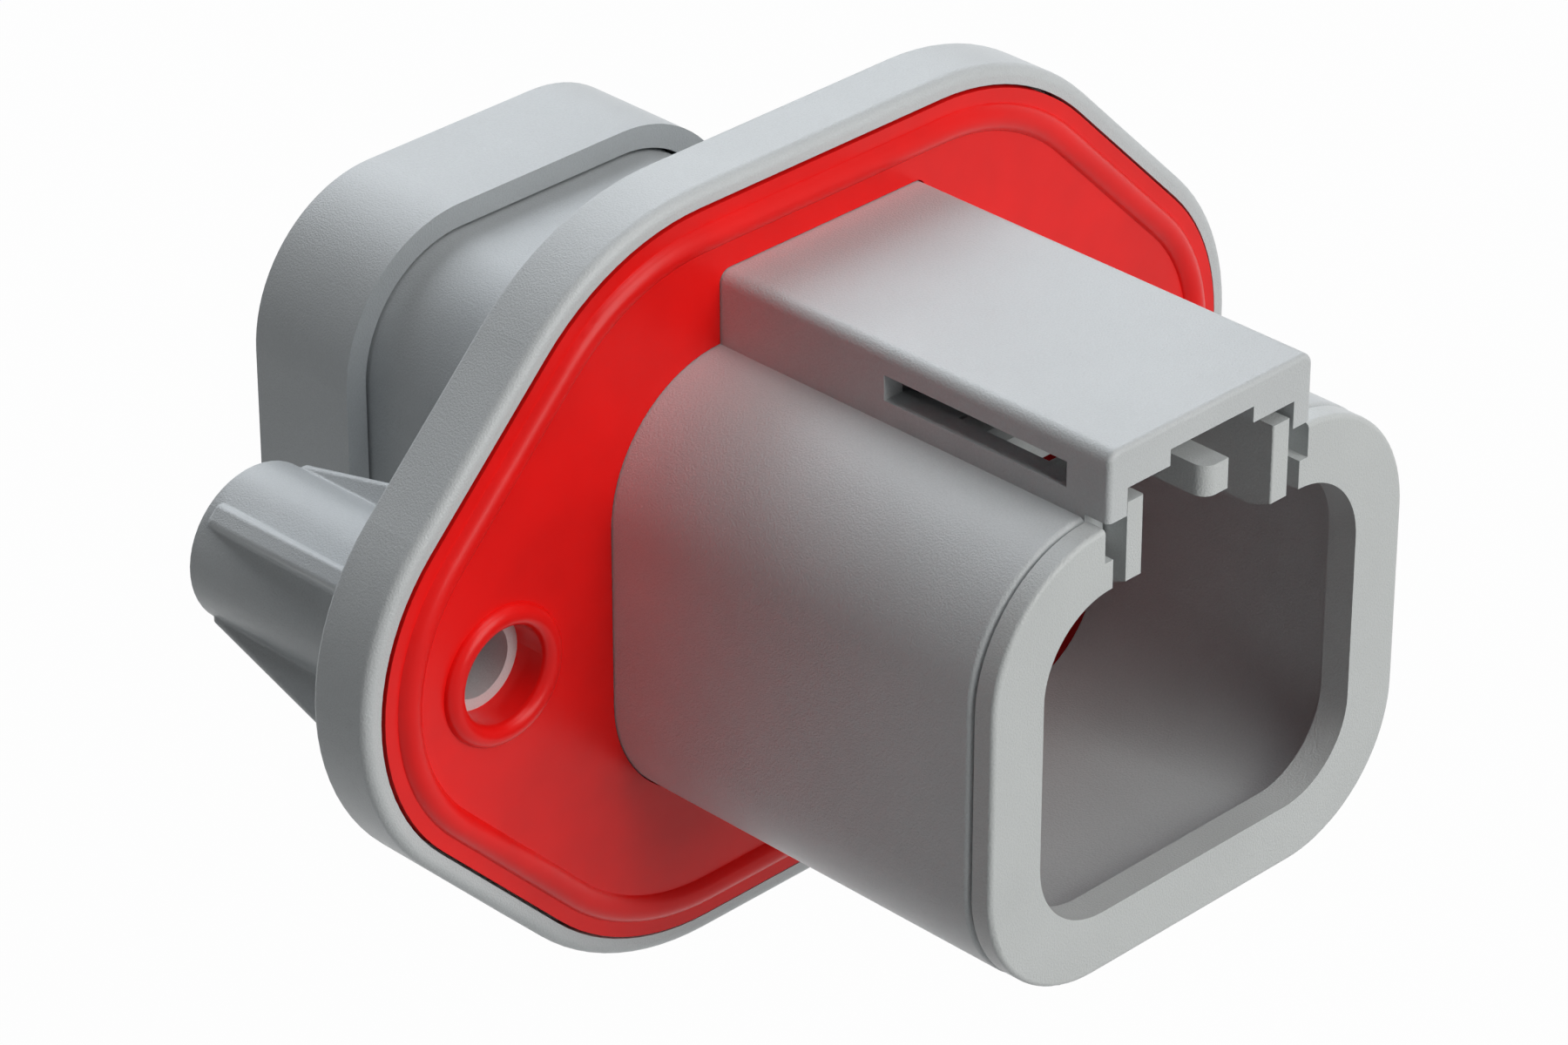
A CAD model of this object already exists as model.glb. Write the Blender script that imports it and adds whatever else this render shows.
import math

import bpy
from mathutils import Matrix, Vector


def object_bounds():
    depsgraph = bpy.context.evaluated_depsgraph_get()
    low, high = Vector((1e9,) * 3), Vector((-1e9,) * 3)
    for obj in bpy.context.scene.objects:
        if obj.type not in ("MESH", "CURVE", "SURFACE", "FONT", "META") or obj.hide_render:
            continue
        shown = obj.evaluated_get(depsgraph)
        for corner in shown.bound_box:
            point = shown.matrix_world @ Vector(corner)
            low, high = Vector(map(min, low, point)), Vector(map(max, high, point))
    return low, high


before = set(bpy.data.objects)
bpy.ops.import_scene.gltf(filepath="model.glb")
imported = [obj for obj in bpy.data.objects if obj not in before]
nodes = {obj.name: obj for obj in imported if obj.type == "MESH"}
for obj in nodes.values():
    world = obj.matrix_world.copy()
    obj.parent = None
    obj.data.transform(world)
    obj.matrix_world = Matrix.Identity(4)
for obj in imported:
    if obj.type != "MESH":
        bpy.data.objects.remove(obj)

cad_low, cad_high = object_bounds()


# Receptacle housing
# One moulding in light grey glass-filled nylon: shroud, lock roof, flange, screw bosses and neck.
# It comes from a spark-eroded tool, which leaves an even, very fine matt grain on every face.
HOUSING_GREY = (0.60, 0.62, 0.63)
HOUSING_ROUGHNESS = 0.34
NYLON_SHEEN = 0.42
NYLON_DARKEST = 0.93
NYLON_LIGHTEST = 1.07
NYLON_SMOOTHER = 0.05
NYLON_ROUGHER = 0.07
GRAIN_PITCH = 0.00009
GRAIN_DETAIL = 4
GRAIN_DEPTH = 0.00003
GRAIN_SHARE = 0.6
FLOW_PITCH = 0.006
FLOW_DETAIL = 2
NOISE_LOW = 0.3
NOISE_HIGH = 0.7


def surface(name, colour, roughness):
    """New material with its shader, its node tree and the piece's own coordinates."""
    material = bpy.data.materials.new(name)
    material.use_nodes = True
    tree = material.node_tree
    shader = tree.nodes["Principled BSDF"]
    shader.inputs["Base Color"].default_value = (*colour, 1)
    shader.inputs["Roughness"].default_value = roughness
    place = tree.nodes.new("ShaderNodeTexCoord")
    return material, tree, shader, place.outputs["Object"]


def noise(tree, place, pitch, detail):
    """Noise whose features are about one pitch apart, in metres."""
    texture = tree.nodes.new("ShaderNodeTexNoise")
    texture.inputs["Scale"].default_value = 1 / pitch
    texture.inputs["Detail"].default_value = detail
    tree.links.new(place, texture.inputs["Vector"])
    return texture.outputs["Fac"]


def spread(tree, value, low, high):
    """Map the usual values of noise to a range of numbers."""
    mapped = tree.nodes.new("ShaderNodeMapRange")
    mapped.inputs["From Min"].default_value = NOISE_LOW
    mapped.inputs["From Max"].default_value = NOISE_HIGH
    mapped.inputs["To Min"].default_value = low
    mapped.inputs["To Max"].default_value = high
    tree.links.new(value, mapped.inputs["Value"])
    return mapped.outputs["Result"]


def tint(tree, value, colour, darkest, lightest):
    """Darken and lighten a colour by the usual values of noise."""
    ramp = tree.nodes.new("ShaderNodeValToRGB")
    dark, light = ramp.color_ramp.elements
    dark.position = NOISE_LOW
    dark.color = (*[darkest * part for part in colour], 1)
    light.position = NOISE_HIGH
    light.color = (*[lightest * part for part in colour], 1)
    tree.links.new(value, ramp.inputs["Fac"])
    return ramp.outputs["Color"]


def relief(tree, shader, height, depth):
    """Raise the surface by a height pattern, in metres."""
    bump = tree.nodes.new("ShaderNodeBump")
    bump.inputs["Distance"].default_value = depth
    tree.links.new(height, bump.inputs["Height"])
    tree.links.new(bump.outputs["Normal"], shader.inputs["Normal"])


def grained_plastic(name, colour, roughness):
    """Moulded nylon with eroded grain, its speckle and faint clouds where the melt flowed."""
    material, tree, shader, place = surface(name, colour, roughness)
    shader.inputs["Specular IOR Level"].default_value = NYLON_SHEEN
    grain = noise(tree, place, GRAIN_PITCH, GRAIN_DETAIL)
    flow = noise(tree, place, FLOW_PITCH, FLOW_DETAIL)
    cloud = tree.nodes.new("ShaderNodeMix")
    cloud.inputs["Factor"].default_value = GRAIN_SHARE
    tree.links.new(flow, cloud.inputs["A"])
    tree.links.new(grain, cloud.inputs["B"])
    shade = tint(tree, cloud.outputs["Result"], colour, NYLON_DARKEST, NYLON_LIGHTEST)
    tree.links.new(shade, shader.inputs["Base Color"])
    matt = spread(tree, grain, roughness - NYLON_SMOOTHER, roughness + NYLON_ROUGHER)
    tree.links.new(matt, shader.inputs["Roughness"])
    relief(tree, shader, grain, GRAIN_DEPTH)
    return material


def dress(name, material):
    """Give every slot of a node the same material."""
    for slot in nodes[name].material_slots:
        slot.material = material


dress("receptacle_housing", grained_plastic("Housing nylon", HOUSING_GREY, HOUSING_ROUGHNESS))


# Socket contacts
# Four turned copper-alloy sockets with a tin finish, slotted in front and crimped behind.
# Each is pushed in from the rear until its shoulder seats in the housing.
CONTACT_TIN = (0.62, 0.60, 0.55)
CONTACT_ROUGHNESS = 0.28
TURNING_PITCH = 0.00012
TURNING_DEPTH = 0.000002
TURNING_WOBBLE = 1.5
WAVE_FACTOR = 20
STAIN_PITCH = 0.0012
STAIN_DETAIL = 3
STAIN_SMOOTHER = 0.06
STAIN_ROUGHER = 0.1


def turned_metal(name, colour, roughness):
    """Tin-plated turned metal with fine tool rings across the length."""
    material, tree, shader, place = surface(name, colour, roughness)
    shader.inputs["Metallic"].default_value = 1
    rings = tree.nodes.new("ShaderNodeTexWave")
    rings.bands_direction = "Y"
    rings.inputs["Scale"].default_value = 2 * math.pi / (WAVE_FACTOR * TURNING_PITCH)
    rings.inputs["Distortion"].default_value = TURNING_WOBBLE
    tree.links.new(place, rings.inputs["Vector"])
    stain = noise(tree, place, STAIN_PITCH, STAIN_DETAIL)
    dull = spread(tree, stain, roughness - STAIN_SMOOTHER, roughness + STAIN_ROUGHER)
    tree.links.new(dull, shader.inputs["Roughness"])
    relief(tree, shader, rings.outputs["Fac"], TURNING_DEPTH)
    return material


contact_tin = turned_metal("Contact tin", CONTACT_TIN, CONTACT_ROUGHNESS)
for name in sorted(nodes):
    if name.startswith("socket_contact"):
        dress(name, contact_tin)


# Contact retainer
# A small grey moulded plate in front of the sockets, with a funnel for each pin.
# It drops into the bottom of the cavity and the interface seal covers it.
RETAINER_GREY = (0.52, 0.54, 0.54)
RETAINER_ROUGHNESS = 0.45

dress("contact_retainer", grained_plastic("Retainer nylon", RETAINER_GREY, RETAINER_ROUGHNESS))


# Rear seal
# A ribbed mat of red silicone rubber that grips each wire, pushed into the neck from behind.
# The rubber is soft and satin, with a trace of bloom.
REAR_SEAL_RED = (0.75, 0.008, 0.007)
RUBBER_ROUGHNESS = 0.30
RUBBER_SHEEN = 0.25
RUBBER_SMOOTHER = 0.02
RUBBER_ROUGHER = 0.03
SKIN_PITCH = 0.0005
SKIN_DETAIL = 1
SKIN_DEPTH = 0.000003
BLOOM_PITCH = 0.004
BLOOM_DETAIL = 2
BLOOM_DARKEST = 0.93
BLOOM_LIGHTEST = 1.05


def silicone_rubber(name, colour, sheen):
    """Moulded silicone: faintly uneven skin, soft sheen and slow changes of shade."""
    material, tree, shader, place = surface(name, colour, RUBBER_ROUGHNESS)
    shader.inputs["Specular IOR Level"].default_value = sheen
    skin = noise(tree, place, SKIN_PITCH, SKIN_DETAIL)
    bloom = noise(tree, place, BLOOM_PITCH, BLOOM_DETAIL)
    shade = tint(tree, bloom, colour, BLOOM_DARKEST, BLOOM_LIGHTEST)
    tree.links.new(shade, shader.inputs["Base Color"])
    satin = spread(tree, skin, RUBBER_ROUGHNESS - RUBBER_SMOOTHER, RUBBER_ROUGHNESS + RUBBER_ROUGHER)
    tree.links.new(satin, shader.inputs["Roughness"])
    relief(tree, shader, skin, SKIN_DEPTH)
    return material


dress("rear_seal", silicone_rubber("Rear seal silicone", REAR_SEAL_RED, RUBBER_SHEEN))


# Rear cap
# A grey moulded cap with four wire holes that snaps over the neck and holds the rear seal in.
# It is moulded in the housing's own nylon.
CAP_GREY = (0.60, 0.62, 0.63)

dress("rear_cap", grained_plastic("Cap nylon", CAP_GREY, HOUSING_ROUGHNESS))


# Interface seal
# A red silicone mat at the bottom of the mating cavity, with a raised ring round each hole.
# The mating plug presses on it. Its skin is duller than the gasket's.
INTERFACE_RED = (0.17, 0.001, 0.001)
INTERFACE_SHEEN = 0.06

dress("interface_seal", silicone_rubber("Interface silicone", INTERFACE_RED, INTERFACE_SHEEN))


# Flange gasket
# A flat red silicone gasket in the flange's recess, which the panel squeezes.
# A bead runs round its edge and a ring bead round each screw hole.
GASKET_RED = (0.88, 0.008, 0.007)

dress("flange_gasket", silicone_rubber("Gasket silicone", GASKET_RED, RUBBER_SHEEN))


# Lock slide
# A grey moulded slide under the roof, with two side rails and a centre tongue.
# It runs in grooves of the housing and locks the mated plug.
SLIDE_GREY = (0.60, 0.62, 0.62)

dress("lock_slide", grained_plastic("Slide nylon", SLIDE_GREY, HOUSING_ROUGHNESS))


# Front bezel
# A grey moulded ring on the mouth of the shroud, notched under the roof for the slide.
# A narrow black seam stays open behind it.
BEZEL_GREY = (0.60, 0.62, 0.62)

dress("front_bezel", grained_plastic("Bezel nylon", BEZEL_GREY, HOUSING_ROUGHNESS))


# Floor
# A plain sheet of matt paper, well below the connector, which is held up by its flange.
# It shows white to the camera and in reflections, and keeps a trace of soft shadow.
FLOOR_DROP = 0.03
FLOOR_SIZE = 6.0
FLOOR_WHITE = (0.35, 0.36, 0.36)
FLOOR_ROUGHNESS = 0.9
FLOOR_GLOW = 0.98


def seen_directly(tree):
    """1 for a ray from the camera, a mirror or glass, and 0 for light that falls on matt surfaces."""
    rays = tree.nodes.new("ShaderNodeLightPath")
    value = rays.outputs["Is Camera Ray"]
    for kind in ("Is Glossy Ray", "Is Transmission Ray"):
        either = tree.nodes.new("ShaderNodeMath")
        either.operation = "MAXIMUM"
        tree.links.new(value, either.inputs[0])
        tree.links.new(rays.outputs[kind], either.inputs[1])
        value = either.outputs["Value"]
    return value


bpy.ops.object.select_all(action="DESELECT")
bpy.ops.mesh.primitive_plane_add(size=FLOOR_SIZE, location=(0, 0, cad_low.z - FLOOR_DROP))
floor = bpy.context.object
floor.name = "Floor"
bpy.ops.object.transform_apply(location=True)

paper, paper_tree, paper_shader, _ = surface("Floor paper", FLOOR_WHITE, FLOOR_ROUGHNESS)
paper_glow = paper_tree.nodes.new("ShaderNodeEmission")
paper_glow.inputs["Strength"].default_value = 1
paper_seen = paper_tree.nodes.new("ShaderNodeMath")
paper_seen.operation = "MULTIPLY"
paper_seen.inputs[1].default_value = FLOOR_GLOW
paper_tree.links.new(seen_directly(paper_tree), paper_seen.inputs[0])
paper_mix = paper_tree.nodes.new("ShaderNodeMixShader")
paper_tree.links.new(paper_seen.outputs["Value"], paper_mix.inputs["Fac"])
paper_tree.links.new(paper_shader.outputs["BSDF"], paper_mix.inputs[1])
paper_tree.links.new(paper_glow.outputs["Emission"], paper_mix.inputs[2])
paper_output = paper_tree.nodes["Material Output"]
paper_tree.links.new(paper_mix.outputs["Shader"], paper_output.inputs["Surface"])
floor.data.materials.append(paper)


# Light
# Three softboxes: a tall one in front, a small one high up and a wide cool one behind on the right.
# The room is white to the eye and in reflections but gives no light, so the left stays in shade.
FRONT_PLACE = (0.10, -0.89, 0.42)
FRONT_SIZE = (0.6, 0.8)
FRONT_POWER = 6.4
FRONT_COLOUR = (1.0, 0.995, 0.97)
TOP_PLACE = (0.05, -0.38, 0.92)
TOP_SIZE = (0.5, 0.5)
TOP_POWER = 2.1
TOP_COLOUR = (0.97, 0.985, 1.0)
BACK_PLACE = (0.34, 0.71, 0.59)
BACK_SIZE = (1.0, 0.65)
BACK_POWER = 6.7
BACK_COLOUR = (0.89, 0.945, 1.0)

world = bpy.data.worlds.new("Studio room")
world.use_nodes = True
bpy.context.scene.world = world
room = world.node_tree
walls = room.nodes["Background"]
walls.inputs["Color"].default_value = (1, 1, 1, 1)
room.links.new(seen_directly(room), walls.inputs["Strength"])


def softbox(name, place, size, power, colour):
    """Area lamp that looks at the middle of the connector."""
    bpy.ops.object.light_add(type="AREA", location=place)
    lamp = bpy.context.object
    lamp.name = name
    lamp.data.shape = "RECTANGLE"
    lamp.data.size, lamp.data.size_y = size
    lamp.data.energy = power
    lamp.data.color = colour
    lamp.rotation_euler = (-Vector(place)).to_track_quat("-Z", "Y").to_euler()


softbox("Front softbox", FRONT_PLACE, FRONT_SIZE, FRONT_POWER, FRONT_COLOUR)
softbox("Top softbox", TOP_PLACE, TOP_SIZE, TOP_POWER, TOP_COLOUR)
softbox("Back softbox", BACK_PLACE, BACK_SIZE, BACK_POWER, BACK_COLOUR)


# Camera
# A long lens that looks down at the connector's mating end from the front left.
# Place, direction and lens are those of the photograph.
CAMERA_PLACE = (-0.17288, -0.17199, 0.139715)
CAMERA_AZIMUTH = -45
CAMERA_ELEVATION = 30
CAMERA_LENS = 145.574
CAMERA_SENSOR = 36

turn = math.radians(CAMERA_AZIMUTH)
rise = math.radians(CAMERA_ELEVATION)
level = math.cos(rise)
sight = Vector((-math.sin(turn) * level, math.cos(turn) * level, -math.sin(rise)))
bpy.ops.object.camera_add(location=CAMERA_PLACE)
camera = bpy.context.object
camera.data.lens = CAMERA_LENS
camera.data.sensor_width = CAMERA_SENSOR
camera.rotation_euler = sight.to_track_quat("-Z", "Y").to_euler()
bpy.context.scene.camera = camera
bpy.context.scene.view_settings.view_transform = "Standard"
